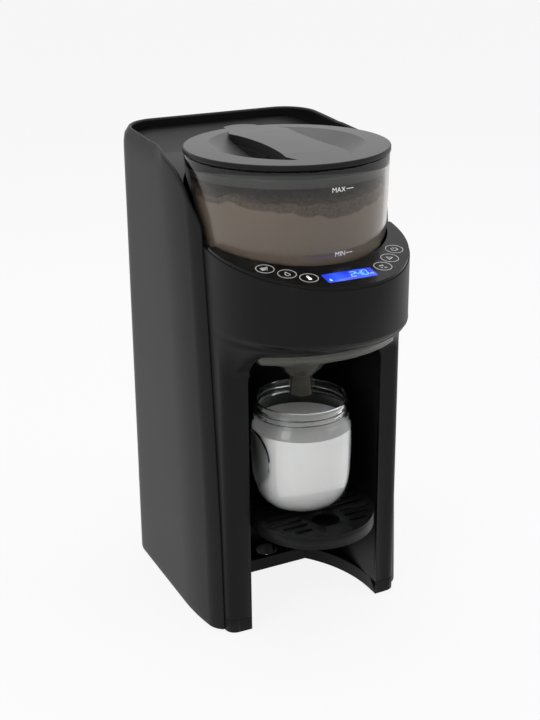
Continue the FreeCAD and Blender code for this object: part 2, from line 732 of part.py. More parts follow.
# Bottle: open neck with two thread rings, standing on the tray
stand = tray_top + snug
rim = stand + bottle_tall
neck_low = stand + 81
bottle_out = [(0, stand), (22, stand), (bottle_rad - 7.2, stand + 7, 18.5), (bottle_rad - 0.9, stand + 25, 36.8),
              (bottle_rad, stand + 56), (bottle_rad, stand + 66), (neck_rad + 0.5, stand + 78.6, 20.6),
              (neck_rad, neck_low)]
thread_out = []
for low in (rim - 9.5, rim - 4.5):
    thread_out += [(neck_rad, low - 1), (neck_rad + thread_out_by, low), (neck_rad + thread_out_by, low + 1.6),
                   (neck_rad, low + 2.6)]
bottle_in = [(neck_rad, rim), (neck_rad - glass, rim), (neck_rad - glass, neck_low),
             (bottle_rad - glass, stand + 66, -18.6), (bottle_rad - glass, stand + 56),
             (bottle_rad - 0.9 - glass, stand + 25.2), (bottle_rad - 8.8, stand + 8.2, -34.8),
             (22, stand + glass, -16.5), (0, stand + glass)]
node("bottle", turned(bottle_out + thread_out + bottle_in, spout_y))

# Drip tray with its slotted top
tray_back = bay_rear - 1


def tray_plan(inset, z):
    half = tray_rad - inset
    return plan([(-half, tray_back - inset), (-half, tray_y), (half, tray_y, half + 0.05), (half, tray_back - inset)], z)


tray_low = tray_top - tray_deep
tray_solid = cut(extrude(tray_plan(0, tray_low), tray_deep - grille_thick - snug),
                 extrude(tray_plan(tray_wall, tray_low + tray_wall), 30))
hooks = [box((x - 3, x + 3), (tray_back - 0.5, bay_rear + gap), (tray_low, tray_low + 6)) for x in (-30, 30)]
node("drip_tray", fuse(tray_solid, *hooks))
slots = []
for row in range(9):
    y = -18 - 9 * row
    reach = math.sqrt(44 ** 2 - min(0, y + 60) ** 2)
    inner_end = 17 if abs(y + 79.8) < 16 else 8
    for side in (-1, 1):
        low, high = sorted((side * inner_end, side * reach))
        slots.append(box((low, high), (y - slot_wide / 2, y + slot_wide / 2), (tray_top - 10, tray_top + 10)))
finger = rod(0, -79.8, tray_top - 10, finger_rad, 20)
node("tray_grille", cut(extrude(tray_plan(0, tray_top - grille_thick), grille_thick), finger, *slots))
rails = [box((side * (tray_rad + gap), side * bay_half) if side > 0 else (-bay_half, -tray_rad - gap),
             (-10, bay_rear), (tray_low, tray_low + 5)) for side in (-1, 1)]
node("tray_rails", fuse(*rails))

# Water tank at the rear, with its lid, valve and seat
tank_half = half_base - tank_inset - 1.5
tank_rear = half_depth - tank_inset


def tank_plan(inset, z):
    """The tank from above: a narrow front between the shell's walls and a rear that shows."""
    bend = corner - tank_inset - inset
    side = tank_half - corner + tank_inset
    rear = tank_rear - inset
    step = tank_split + inset
    waist = tank_waist - inset
    shoulder = side + half_chord(bend, step - (rear - bend))
    front = tank_front + inset
    return plan([(-shoulder, step, bend), (-waist, step), (-waist, front), (waist, front), (waist, step),
                 (shoulder, step), (side, rear, bend), (-side, rear)], z)


tank_lid_low = tank_high - 4
valve_hole = rod(0, 106, tank_low - 5, 8 + gap, 20)
node("water_tank", cut(extrude(tank_plan(0, tank_low), tank_lid_low - snug - tank_low),
                       extrude(tank_plan(tank_wall, tank_low + tank_wall), 400), valve_hole))
node("tank_lid", extrude(tank_plan(0, tank_lid_low), tank_high - tank_lid_low))
node("tank_valve", fuse(rod(0, 106, tank_low - 0.1, 8, 8), rod(0, 106, tank_low + 7, 11, 3)))
seat_top = tank_low - snug - 0.1
seat_plan = rear_plan(half_base - base_wall - 0.6, tank_front, base_rear, base_bend)
node("tank_seat", cut(fuse(extrude(plan(seat_plan, seat_top - 3), 3),
                           box((-64, -60), (tank_front, 110), (base_top + gap, seat_top - 1)),
                           box((60, 64), (tank_front, 110), (base_top + gap, seat_top - 1))),
                      rod(0, 106, 60, 5, 40)))

# Pump, heater, boards and water tubes in the space behind the bay
service_y = bay_rear + gap * 2 + wall
pump_y = (service_y + tank_front - wall - gap) / 2
pump_low = base_top + gap
node("water_pump", fuse(rod(-30, pump_y, pump_low, 13, 46), rod(-30, pump_y, pump_low + 45, 5, 12)))
heater_low = 110
node("water_heater", fuse(rod(-30, pump_y, heater_low, 13.5, 120), rod(-30, pump_y, heater_low + 119, 5, 10),
                          rod(-30, pump_y, heater_low - 10, 5, 11)))
feed_low = pump_low + 57 + snug
node("feed_tube", cut(rod(-30, pump_y, feed_low, tube_rad, heater_low - 10 - snug - feed_low),
                      rod(-30, pump_y, feed_low - 5, tube_rad - 1, 60)))
node("power_board", box((10, 70), (bay_rear + gap * 3 + wall, bay_rear + gap * 3 + wall + 12), (60, 180)))
inlet_rear = half_depth - shell_wall - gap
node("mains_inlet", cut(box((inlet_x - 15, inlet_x + 15), (inlet_rear - 20, inlet_rear), (base_top + gap, inlet_low + 24)),
                        box((inlet_x - 9, inlet_x + 9), (inlet_rear - 14, REACH), (inlet_low + 6, inlet_low + 18))))
nozzle_low = slot_top + wall + gap
node("water_nozzle", cut(fuse(rod(-24, nozzle_y, nozzle_low, 7, 8), rod(-24, nozzle_y, nozzle_low + 7, 4, 6)),
                         rod(-24, nozzle_y, nozzle_low - 5, 2, 30)))


def outlet_tube():
    """The heated water's tube: up from the heater, over the bay and down to the nozzle, on round bends."""
    top = nozzle_low.worth + 28
    points = [Vector(-30, pump_y.worth, heater_low + 129.3), Vector(-30, pump_y.worth, top),
              Vector(-24, nozzle_y.worth, top), Vector(-24, nozzle_y.worth, nozzle_low.worth + 13.3)]
    edges = []
    here = points[0]
    for i in (1, 2):
        back = (points[i - 1] - points[i]).normalize()
        ahead = (points[i + 1] - points[i]).normalize()
        bend = 10
        start = points[i] + back * bend
        stop = points[i] + ahead * bend
        middle = points[i] + (back + ahead).normalize() * bend * (math.sqrt(2) - 1)
        edges.append(Part.LineSegment(here, start).toShape())
        edges.append(Part.Arc(start, middle, stop).toShape())
        here = stop
    edges.append(Part.LineSegment(here, points[3]).toShape())
    path = Part.Wire(edges)
    circle = Part.Wire([Part.Circle(points[0], Vector(0, 0, 1), tube_rad.worth).toShape()])
    thing = doc.addObject("Part::Feature", "Tube")
    thing.Shape = path.makePipeShell([circle], True, False)
    return thing


node("outlet_tube", outlet_tube())

doc.recompute()
for thing in doc.Objects:
    if "Invalid" in thing.State or "Error" in thing.State:
        raise RuntimeError("failed: %s %s %s" % (thing.Name, thing.Label, thing.State))
os.makedirs("parts", exist_ok=True)
for thing in nodes:
    shape = thing.Shape
    if shape.isNull() or not shape.isValid() or not shape.Solids:
        raise RuntimeError("bad shape: " + thing.Label)
    shape.exportStep("parts/%s.step" % thing.Label)
    print("%-20s %2d solids %9.0f mm3" % (thing.Label, len(shape.Solids), shape.Volume))
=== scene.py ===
import json
import math

import bmesh
import bpy
import numpy as np
from mathutils import Matrix, Vector

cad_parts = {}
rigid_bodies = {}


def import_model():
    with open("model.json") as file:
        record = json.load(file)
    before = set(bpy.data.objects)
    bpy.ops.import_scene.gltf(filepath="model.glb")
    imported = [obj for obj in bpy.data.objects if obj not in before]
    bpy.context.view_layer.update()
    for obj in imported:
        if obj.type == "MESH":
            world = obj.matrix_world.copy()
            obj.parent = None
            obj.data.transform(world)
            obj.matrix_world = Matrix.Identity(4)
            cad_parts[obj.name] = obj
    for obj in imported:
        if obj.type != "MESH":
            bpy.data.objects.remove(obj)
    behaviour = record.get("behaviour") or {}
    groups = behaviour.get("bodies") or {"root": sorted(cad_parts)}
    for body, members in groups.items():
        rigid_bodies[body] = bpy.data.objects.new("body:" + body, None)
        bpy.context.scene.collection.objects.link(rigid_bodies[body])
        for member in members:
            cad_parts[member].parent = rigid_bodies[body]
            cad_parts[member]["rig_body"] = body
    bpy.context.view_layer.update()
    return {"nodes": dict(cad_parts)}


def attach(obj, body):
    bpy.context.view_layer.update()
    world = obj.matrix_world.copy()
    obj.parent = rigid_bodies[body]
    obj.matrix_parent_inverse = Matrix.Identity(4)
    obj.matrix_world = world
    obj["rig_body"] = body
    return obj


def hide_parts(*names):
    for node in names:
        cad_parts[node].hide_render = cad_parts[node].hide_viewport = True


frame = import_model()
nodes = frame["nodes"]
mm = 0.001
print("frame loaded")


# Sockets and finishes
class Wire:
    # A node's output. Arithmetic on it adds Math nodes.
    def __init__(self, finish, socket):
        self.finish = finish
        self.socket = socket

    def join(self, operation, first, second):
        return self.finish.add("ShaderNodeMath", {"operation": operation}, {0: first, 1: second})

    def __add__(self, other):
        return self.join("ADD", self, other)

    def __radd__(self, other):
        return self.join("ADD", other, self)

    def __sub__(self, other):
        return self.join("SUBTRACT", self, other)

    def __rsub__(self, other):
        return self.join("SUBTRACT", other, self)

    def __mul__(self, other):
        return self.join("MULTIPLY", self, other)

    def __rmul__(self, other):
        return self.join("MULTIPLY", other, self)


class Finish:
    # A material's or world's node tree, emptied first.
    def __init__(self, tree):
        self.tree = tree
        tree.nodes.clear()

    def add(self, kind, settings=None, sockets=None, output=0):
        # A new node: its settings are made first, then its sockets get a value or a link.
        node = self.tree.nodes.new(kind)
        for key, value in (settings or {}).items():
            if key == "stops":
                ramp = node.color_ramp.elements
                while len(ramp) < len(value):
                    ramp.new(0.5)
                for stop, (position, colour) in zip(ramp, value):
                    stop.position = position
                    stop.color = (*colour, 1)
            else:
                setattr(node, key, value)
        for key, value in (sockets or {}).items():
            if isinstance(value, Wire):
                self.tree.links.new(value.socket, node.inputs[key])
            else:
                node.inputs[key].default_value = value
        return Wire(self, node.outputs[output]) if node.outputs else node


def newFinish(name):
    material = bpy.data.materials.new(name)
    material.use_nodes = True
    return material, Finish(material.node_tree)


def blendOf(finish, share, low, high):
    return finish.add("ShaderNodeMix", {"data_type": "RGBA"}, {0: share, 6: (*low, 1), 7: (*high, 1)}, 2)


def moulded(name, colour, rough, grain=900.0, bump=0.15, swing=0.06, drift=0.12, **fixed):
    # Moulded plastic: fine pebbled grain, faint clouds in its colour and in its gloss.
    material, finish = newFinish(name)
    place = finish.add("ShaderNodeTexCoord", output="Object")
    pebble = finish.add("ShaderNodeTexNoise", {},
                        {"Vector": place, "Scale": grain, "Detail": 3.0, "Roughness": 0.55})
    cloud = finish.add("ShaderNodeTexNoise", {}, {"Vector": place, "Scale": 14.0, "Detail": 3.0})
    low = [c * (1 - drift) for c in colour]
    high = [c * (1 + drift) for c in colour]
    sockets = {
        "Base Color": blendOf(finish, cloud, low, high),
        "Roughness": cloud * swing + (rough - swing / 2),
        "Normal": finish.add("ShaderNodeBump", {},
                             {"Height": pebble, "Strength": bump, "Distance": 0.0002}),
    }
    sockets.update(fixed)
    shader = finish.add("ShaderNodeBsdfPrincipled", {}, sockets)
    finish.add("ShaderNodeOutputMaterial", {}, {"Surface": shader})
    return material


def lit(name, colour, strength, swing=0.1):
    # A glowing print: its glow varies a little over the surface. The screen's figures really glow; on the
    # hopper's level marks and on the panel's rings and signs other than the temperature sign, the glow is
    # painted light.
    material, finish = newFinish(name)
    place = finish.add("ShaderNodeTexCoord", output="Object")
    cloud = finish.add("ShaderNodeTexNoise", {}, {"Vector": place, "Scale": 90.0})
    tone = blendOf(finish, cloud, [c * (1 - swing) for c in colour],
                   [min(1, c * (1 + swing)) for c in colour])
    shader = finish.add("ShaderNodeBsdfPrincipled", {}, {
        "Base Color": tone, "Roughness": 0.3, "Emission Color": tone, "Emission Strength": strength})
    finish.add("ShaderNodeOutputMaterial", {}, {"Surface": shader})
    return material


# Camera, lamps and floor
view = {"place": (-0.4261, -0.8574, 0.5817), "azimuth": -25.92, "pitch": 21.31, "roll": -0.6,
        "lens": 61.87}


def makeCamera():
    turn, dip, roll = (math.radians(view[key]) for key in ("azimuth", "pitch", "roll"))
    back = Vector((math.sin(turn) * math.cos(dip), -math.cos(turn) * math.cos(dip), math.sin(dip)))
    right = Vector((math.cos(turn), math.sin(turn), 0))
    up = back.cross(right)
    across = right * math.cos(roll) + up * math.sin(roll)
    above = up * math.cos(roll) - right * math.sin(roll)
    data = bpy.data.cameras.new("camera")
    data.lens = view["lens"]
    data.sensor_width = 36
    data.clip_end = 60
    camera = bpy.data.objects.new("camera", data)
    bpy.context.scene.collection.objects.link(camera)
    turned = Matrix((across, above, back)).transposed().to_4x4()
    camera.matrix_world = Matrix.Translation(view["place"]) @ turned
    bpy.context.scene.camera = camera


lamps = {
    "overhead": {"place": (0.1, 0.25, 1.7), "aim": (0, 0, 0.3), "size": (1.7, 1.5), "power": 13},
    "tallLeft": {"place": (-1.35, -0.75, 0.75), "aim": (0, 0, 0.25), "size": (0.55, 1.2), "power": 8,
                 "glossy": False},
    "wideRight": {"place": (1.3, -1.1, 0.9), "aim": (0, 0, 0.2), "size": (0.9, 0.9), "power": 6,
                  "glossy": False},
}


def makeLamps():
    for name, lamp in lamps.items():
        data = bpy.data.lights.new(name, "AREA")
        data.shape = "RECTANGLE"
        data.size, data.size_y = lamp["size"]
        data.energy = lamp["power"]
        spot = bpy.data.objects.new(name, data)
        bpy.context.scene.collection.objects.link(spot)
        spot.location = lamp["place"]
        spot.visible_glossy = lamp.get("glossy", True)
        spot.rotation_mode = "QUATERNION"
        spot.rotation_quaternion = (Vector(lamp["place"]) - Vector(lamp["aim"])).to_track_quat("Z", "Y")


room = {"ambient": 0.42, "floorGlow": 0.88, "floorColour": (0.86, 0.86, 0.86), "reach": 14.0}


def makeRoom():
    # The camera, glossy and glass rays see white; everything else gets the dimmer ambient level.
    world = bpy.data.worlds.new("studio")
    world.use_nodes = True
    bpy.context.scene.world = world
    sky = Finish(world.node_tree)
    seen = seenRays(sky)
    sky.add("ShaderNodeOutputWorld", {}, {"Surface": sky.add("ShaderNodeBackground", {}, {
        "Color": (1, 1, 1, 1), "Strength": seen * (1 - room["ambient"]) + room["ambient"]})})
    material, finish = newFinish("floorPaper")
    seen = seenRays(finish)
    paper = finish.add("ShaderNodeBsdfDiffuse", {}, {"Color": (*room["floorColour"], 1)})
    glow = finish.add("ShaderNodeEmission", {}, {"Color": (1, 1, 1, 1), "Strength": 1.0})
    mixed = finish.add("ShaderNodeMixShader", {}, {0: seen * room["floorGlow"], 1: paper, 2: glow})
    finish.add("ShaderNodeOutputMaterial", {}, {"Surface": mixed})
    reach = room["reach"]
    corners = np.array([(-reach, -reach, 0), (reach, -reach, 0), (reach, reach, 0), (-reach, reach, 0)])
    floor = newMesh("floor", corners, np.array([[0, 1, 2, 3]]), material)
    scene = bpy.context.scene
    scene.view_settings.view_transform = "Standard"


def seenRays(finish):
    path = finish.add("ShaderNodeLightPath")
    rays = [Wire(finish, path.socket.node.outputs[name]) for name in
            ("Is Camera Ray", "Is Glossy Ray", "Is Transmission Ray")]
    return finish.add("ShaderNodeMath", {"operation": "MINIMUM"},
                      {0: rays[0] + rays[1] + rays[2], 1: 1.0})


# Meshes from arrays
def newMesh(name, points, faces, material, angle=40.0):
    # Points in metres and faces by index; unused points are dropped and equal points are merged.
    used, faces = np.unique(faces, return_inverse=True)
    faces = faces.reshape(-1, faces.shape[-1] if faces.ndim > 1 else 4)
    mesh = bpy.data.meshes.new(name)
    mesh.from_pydata(points[used].tolist(), [], faces.tolist())
    return finished(name, mesh, material, angle)


def finished(name, mesh, material, angle):
    shape = bmesh.new()
    shape.from_mesh(mesh)
    bmesh.ops.remove_doubles(shape, verts=shape.verts, dist=2e-6)
    shape.to_mesh(mesh)
    shape.free()
    mesh.shade_smooth()
    mesh.set_sharp_from_angle(angle=math.radians(angle))
    mesh.materials.clear()
    mesh.materials.append(material)
    piece = bpy.data.objects.new(name, mesh)
    bpy.context.scene.collection.objects.link(piece)
    return piece


def gridFaces(rows, columns, wrap=False, start=0):
    # Quads between neighbouring rows and columns; wrap joins the last column to the first.
    row = np.arange(rows - 1)[:, None] * columns
    column = np.arange(columns if wrap else columns - 1)[None, :]
    after = (column + 1) % columns
    return start + np.stack([row + column, row + after, row + columns + after, row + columns + column],
                            -1).reshape(-1, 4)


def arcCentre(start, stop, radius):
    # Middle of the chord plus its left-hand normal times sqrt(r^2 - (chord / 2)^2).
    # A negative radius turns right.
    chord = stop - start
    length = np.linalg.norm(chord, axis=-1, keepdims=True)
    left = np.stack([-chord[..., 1], chord[..., 0]], -1) / length * np.sign(radius)
    return (start + stop) / 2 + left * np.sqrt(np.maximum(np.square(radius) - np.square(length / 2), 0))


def arcRun(start, stop, radius, shares):
    # Points on the circle's arc from start to stop: centre + r (cos a, sin a), with even steps of a.
    centre = arcCentre(start, stop, radius)
    first = np.arctan2(*(start - centre)[..., ::-1].T).T
    last = np.arctan2(*(stop - centre)[..., ::-1].T).T
    sweep = (last - first + math.pi) % (2 * math.pi) - math.pi
    angle = first[..., None] + sweep[..., None] * shares
    reach = np.linalg.norm(start - centre, axis=-1)[..., None, None]
    return centre[..., None, :] + reach * np.stack([np.cos(angle), np.sin(angle)], -1)


def lineRun(start, stop, shares):
    # Points on the straight run: start + (stop - start) * share.
    return start[..., None, :] + (stop - start)[..., None, :] * np.asarray(shares)[:, None]


def pair(x, y):
    return np.stack(np.broadcast_arrays(np.asarray(x, float), np.asarray(y, float)), -1)


def through(points, count):
    # A smooth line through the points, in cubic segments.
    # The slope at each inner point is half its neighbours' difference.
    p = np.array(points, float)
    slope = np.gradient(p, axis=0)
    t = np.linspace(0, len(p) - 1, count)
    i = np.minimum(t.astype(int), len(p) - 2)
    s = (t - i)[:, None]
    return (p[i] * (2 * s ** 3 - 3 * s ** 2 + 1) + p[i + 1] * (3 * s ** 2 - 2 * s ** 3)
            + slope[i] * (s ** 3 - 2 * s ** 2 + s) + slope[i + 1] * (s ** 3 - s ** 2))


def spun(name, profile, centre, material, steps, swell, angle):
    # Surface of revolution in mm: (cx + r cos a, cy + r sin a, z) over the profile's (r, z) and angle a.
    turn = np.arange(steps) * 2 * math.pi / steps
    r = np.repeat(profile[:, :1], steps, 1)
    z = np.repeat(profile[:, 1:2], steps, 1)
    if swell is not None:
        r = r + swell(r, z, turn[None, :])
    points = np.stack([centre[0] + r * np.cos(turn), centre[1] + r * np.sin(turn), z], -1)
    return newMesh(name, points.reshape(-1, 3) * mm, gridFaces(len(profile), steps, True), material, angle)


def circle(radius, count, start=0.0, stop=360.0, centre=(0, 0)):
    turn = np.radians(np.linspace(start, stop, count))
    return np.stack([centre[0] + radius * np.cos(turn), centre[1] + radius * np.sin(turn)], -1)


def bodyOf(node):
    return nodes[node]["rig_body"]


def carried(name, node, material, angle):
    # A merged copy of a CAD node with smooth faces.
    mesh = nodes[node].data.copy()
    mesh.name = name
    mesh.transform(nodes[node].matrix_world)
    piece = finished(name, mesh, material, angle)
    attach(piece, bodyOf(node))
    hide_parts(node)


def softened(piece, width, segments, angle):
    bevel = piece.modifiers.new("ease", "BEVEL")
    bevel.width = width * mm
    bevel.segments = segments
    bevel.limit_method = "ANGLE"
    bevel.angle_limit = math.radians(angle)
    bevel.use_clamp_overlap = True
    bevel.harden_normals = False


makeCamera()
makeLamps()
makeRoom()
print("camera, lamps and room made")

# Finishes
shellBlack = moulded("shellBlack", (0.013, 0.013, 0.0135), 0.4, grain=1100, bump=0.12,
                     **{"Specular IOR Level": 0.13})
housingBlack = moulded("housingBlack", (0.008, 0.008, 0.0085), 0.4, grain=1100, bump=0.12,
                       **{"Specular IOR Level": 0.11})
# A lighter copy of the body's black for the top dish: painted light for its upward-facing, lit surface.
dishPaintedLightBlack = moulded("dishPaintedLightBlack", (0.022, 0.022, 0.0225), 0.42, grain=1100, bump=0.12,
                    **{"Specular IOR Level": 0.22})
lidSatin = moulded("lidSatin", (0.046, 0.046, 0.047), 0.42, grain=1300, bump=0.1,
                   **{"Specular IOR Level": 0.5})
trayBlack = moulded("trayBlack", (0.006, 0.006, 0.0065), 0.4, grain=1000, bump=0.12,
                    **{"Specular IOR Level": 0.12})
panelGloss = moulded("panelGloss", (0.003, 0.003, 0.0035), 0.07, grain=200, bump=0.01, swing=0.02,
                     **{"Specular IOR Level": 0.14})
hopperSmoke = moulded("hopperSmoke", (0.56, 0.53, 0.5), 0.05, grain=60, bump=0.01, swing=0.02, drift=0.03,
                      **{"Transmission Weight": 1.0, "IOR": 1.4})
funnelSmoke = moulded("funnelSmoke", (0.18, 0.18, 0.145), 0.12, grain=400, bump=0.05, swing=0.04,
                      drift=0.05, **{"Transmission Weight": 0.8, "IOR": 1.45})
bottleClear = moulded("bottleClear", (0.95, 0.955, 0.96), 0.03, grain=40, bump=0.01, swing=0.02,
                      drift=0.01, **{"Transmission Weight": 1.0, "IOR": 1.45})
tankSmoke = moulded("tankSmoke", (0.02, 0.02, 0.022), 0.2, grain=500, bump=0.04, swing=0.05,
                    **{"Transmission Weight": 0.25, "IOR": 1.45, "Specular IOR Level": 0.4})
skirtBlue = moulded("skirtBlue", (0.09, 0.115, 0.13), 0.3, grain=500, bump=0.05)
# A darker copy of the lid's plastic: painted shade for the pocket walls and the rim's side.
lidPaintedShadeBlack = moulded("lidPaintedShadeBlack", (0.008, 0.008, 0.0085), 0.4, grain=1300, bump=0.1,
                       **{"Specular IOR Level": 0.15})
sealGrey = moulded("sealGrey", (0.1, 0.1, 0.1), 0.6, grain=700, bump=0.2)
feetRubber = moulded("feetRubber", (0.012, 0.012, 0.012), 0.75, grain=700, bump=0.3)
nylonWhite = moulded("nylonWhite", (0.72, 0.71, 0.66), 0.45, grain=800, bump=0.1)
motorSteel = moulded("motorSteel", (0.55, 0.55, 0.56), 0.34, grain=300, bump=0.1, swing=0.12,
                     **{"Metallic": 1.0})
boardGreen = moulded("boardGreen", (0.02, 0.13, 0.05), 0.4, grain=250, bump=0.15)
tubeClear = moulded("tubeClear", (0.62, 0.62, 0.6), 0.4, grain=300, bump=0.05)
milkWhite = moulded("milkWhite", (0.95, 0.945, 0.925), 0.22, grain=30, bump=0.01, drift=0.015,
                    **{"Subsurface Weight": 0.15, "Subsurface Scale": 0.004})
# White print with painted glow: the emission on the hopper's marks and the panel's prints is painted light.
printWhitePaintedGlow = lit("printWhitePaintedGlow", (0.8, 0.8, 0.8), 0.25)
printGlow = lit("printGlow", (0.95, 0.97, 1.0), 0.9)
screenCyan = lit("screenCyan", (0.22, 0.62, 1.0), 1.0)


def powderFinish():
    # Milk powder: coarse crumbs on top of fine grain, with painted shade in the crumbs' gaps.
    material, finish = newFinish("powderCream")
    place = finish.add("ShaderNodeTexCoord", output="Object")
    crumb = finish.add("ShaderNodeTexNoise", {},
                       {"Vector": place, "Scale": 620.0, "Detail": 5.0, "Roughness": 0.7})
    dust = finish.add("ShaderNodeTexNoise", {}, {"Vector": place, "Scale": 1500.0, "Detail": 2.0})
    heap = finish.add("ShaderNodeAttribute", {"attribute_name": "crumbs"}, output="Fac")
    # Crumb colour where the crumb noise is high, painted shade where it is low, in the gaps between crumbs.
    crumbsAndGapShade = finish.add("ShaderNodeValToRGB", {"stops": [(0.36, (0.15, 0.12, 0.1)),
                                                       (0.64, (0.34, 0.285, 0.235))]}, {0: crumb})
    fine = blendOf(finish, dust, (0.44, 0.385, 0.33), (0.56, 0.5, 0.43))
    tone = finish.add("ShaderNodeMix", {"data_type": "RGBA"}, {0: heap, 6: fine, 7: crumbsAndGapShade}, 2)
    relief = finish.add("ShaderNodeBump", {}, {
        "Height": crumb * heap + dust * 0.3, "Strength": 0.7, "Distance": 0.0012})
    shader = finish.add("ShaderNodeBsdfPrincipled", {},
                        {"Base Color": tone, "Roughness": 0.95, "Normal": relief})
    finish.add("ShaderNodeOutputMaterial", {}, {"Surface": shader})
    return material


def screenFinish():
    # The lit screen: blue with faint backlight bands.
    material, finish = newFinish("screenBlue")
    place = finish.add("ShaderNodeTexCoord", output="Object")
    band = finish.add("ShaderNodeTexWave", {}, {"Vector": place, "Scale": 18.0, "Distortion": 2.0})
    tone = blendOf(finish, band, (0.010, 0.035, 0.62), (0.022, 0.085, 0.9))
    shader = finish.add("ShaderNodeBsdfPrincipled", {}, {
        "Base Color": tone, "Roughness": 0.12, "Emission Color": tone, "Emission Strength": 0.85})
    finish.add("ShaderNodeOutputMaterial", {}, {"Surface": shader})
    return material


powderCream = powderFinish()
screenBlue = screenFinish()
print("finishes made")

# CAD nodes that show as they are, by finish
asBuilt = {
    housingBlack: ("bay_back", "rear_bulkhead", "tray_rails", "tank_seat", "mains_inlet", "water_pump",
                   "tank_lid", "hopper_cradle"),
    panelGloss: ("power_button", "start_button", "unit_button", "temperature_button", "water_button",
                 "powder_button"),
    nylonWhite: ("display_module", "wheel_gear", "motor_pinion", "powder_wheel", "stirrer",
                 "powder_chute", "water_nozzle"),
    boardGreen: ("control_board", "power_board"),
    motorSteel: ("drive_shaft", "base_screws", "gear_motor", "water_heater"),
    sealGrey: ("lid_seal", "hopper_seat", "tank_valve"),
    feetRubber: ("rubber_feet",),
    tubeClear: ("feed_tube", "outlet_tube"),
}
for material, names in asBuilt.items():
    for name in names:
        mesh = nodes[name].data
        mesh.materials.clear()
        mesh.materials.append(material)

# Outer shell
shell = {
    "halfBase": 93.2, "halfTop": 90.4, "rear": 132.0, "bend": 34.0, "wall": 3.2, "foot": 1.5, "mouth": 79.8,
    "edge": ((0, 56.5), (110, 52.5), (180, 48), (240, 43), (300, 38), (350, 31), (396, 20)),
    "curl": 17.5, "sideBend": 222.0,
    "rim": ((132, 394, 0), (58, 390, 1400), (0, 377.5, 118), (-36, 318, 92), (-44, 300, 0),
            (-60, 264, 0)),
    "tankWindow": (108.7, 75.7, 333.3), "inletWindow": (28.0, 52.0, 24.0, 42.0),
    "lip": 1.45, "roll": (5.0, 16.0), "tall": 394.0, "search": (150.0, 396.0),
    "frontReach": 15.5, "flankReach": 41.0, "edgeIn": 19.4, "shoulderIn": 3.8,
    "rows": (3, 2, 4, 26, 10), "rollColumns": 4, "slack": 0.1,
}
edgeFit = np.polyfit(*np.array(shell["edge"], float).T, 5)


def shellPlan(z):
    # Half plan of the shell, as one row of (x, y) per height: the curled front edge, the bowed flank,
    # the straight side, the round rear corner and half of the rear. Width and front edge vary with z.
    share = (z - shell["foot"]) / shell["tall"]
    half = shell["halfBase"] * (1 - share) + shell["halfTop"] * share
    rear, bend = shell["rear"], shell["bend"]
    front = -np.polyval(edgeFit, z - shell["foot"])
    shoulder = front + shell["frontReach"]
    waist = shoulder + shell["flankReach"]
    inner = pair(half - shell["edgeIn"], front)
    outer = pair(half - shell["shoulderIn"], shoulder)
    centre = arcCentre(inner, outer, shell["curl"])
    reach = np.linalg.norm(inner - centre, axis=-1)
    across = shell["mouth"] - centre[..., 0]
    mouth = pair(shell["mouth"], centre[..., 1] - np.sqrt(reach ** 2 - across ** 2))
    even = np.linspace(0, 1, 11)
    side = pair(half, waist)
    corner = pair(half, rear - bend)
    drop = shell["tankWindow"][0] - (rear - bend)
    window = pair(half - bend + math.sqrt(bend ** 2 - drop ** 2), shell["tankWindow"][0])
    back = pair(half - bend, rear)
    inlet = [pair(shell["inletWindow"][i] + 0 * z, rear) for i in (1, 0)]
    runs = [arcRun(mouth, outer, shell["curl"], even), arcRun(outer, side, shell["sideBend"], even[1:]),
            np.concatenate([lineRun(side, corner, np.linspace(0, 1, 9)[1:]),
                            arcRun(corner, window, bend, np.linspace(0, 1, 5)[1:])], -2),
            arcRun(window, back, bend, np.linspace(0, 1, 12)[1:]), lineRun(back, inlet[0], [1]),
            lineRun(inlet[0], inlet[1], [0.5, 1]), lineRun(inlet[1], pair(0 * z, rear), [0.5, 1])]
    counts = np.cumsum([run.shape[-2] for run in runs])
    return np.concatenate(runs, -2), counts


def rimHeight(y):
    # The rim's side view: arcs through the listed (y, z) points, read off at y.
    stops = np.array(shell["rim"], float)
    runs = []
    for i in range(1, len(stops)):
        start, stop, radius = stops[i - 1, :2], stops[i, :2], stops[i, 2]
        shares = np.linspace(0, 1, 24)
        runs.append(arcRun(start, stop, radius, shares) if radius else lineRun(start, stop, shares))
    line = np.concatenate(runs)[::-1]
    return np.interp(y, line[:, 0], line[:, 1])


def atHeights(z):
    # Each column's own point of the plan at its own height, picked from the plans at all the heights.
    plans, counts = shellPlan(z.ravel())
    columns = np.tile(np.arange(z.shape[-1]), z.size // z.shape[-1])
    return plans[np.arange(z.size), columns].reshape(*z.shape, 2), counts


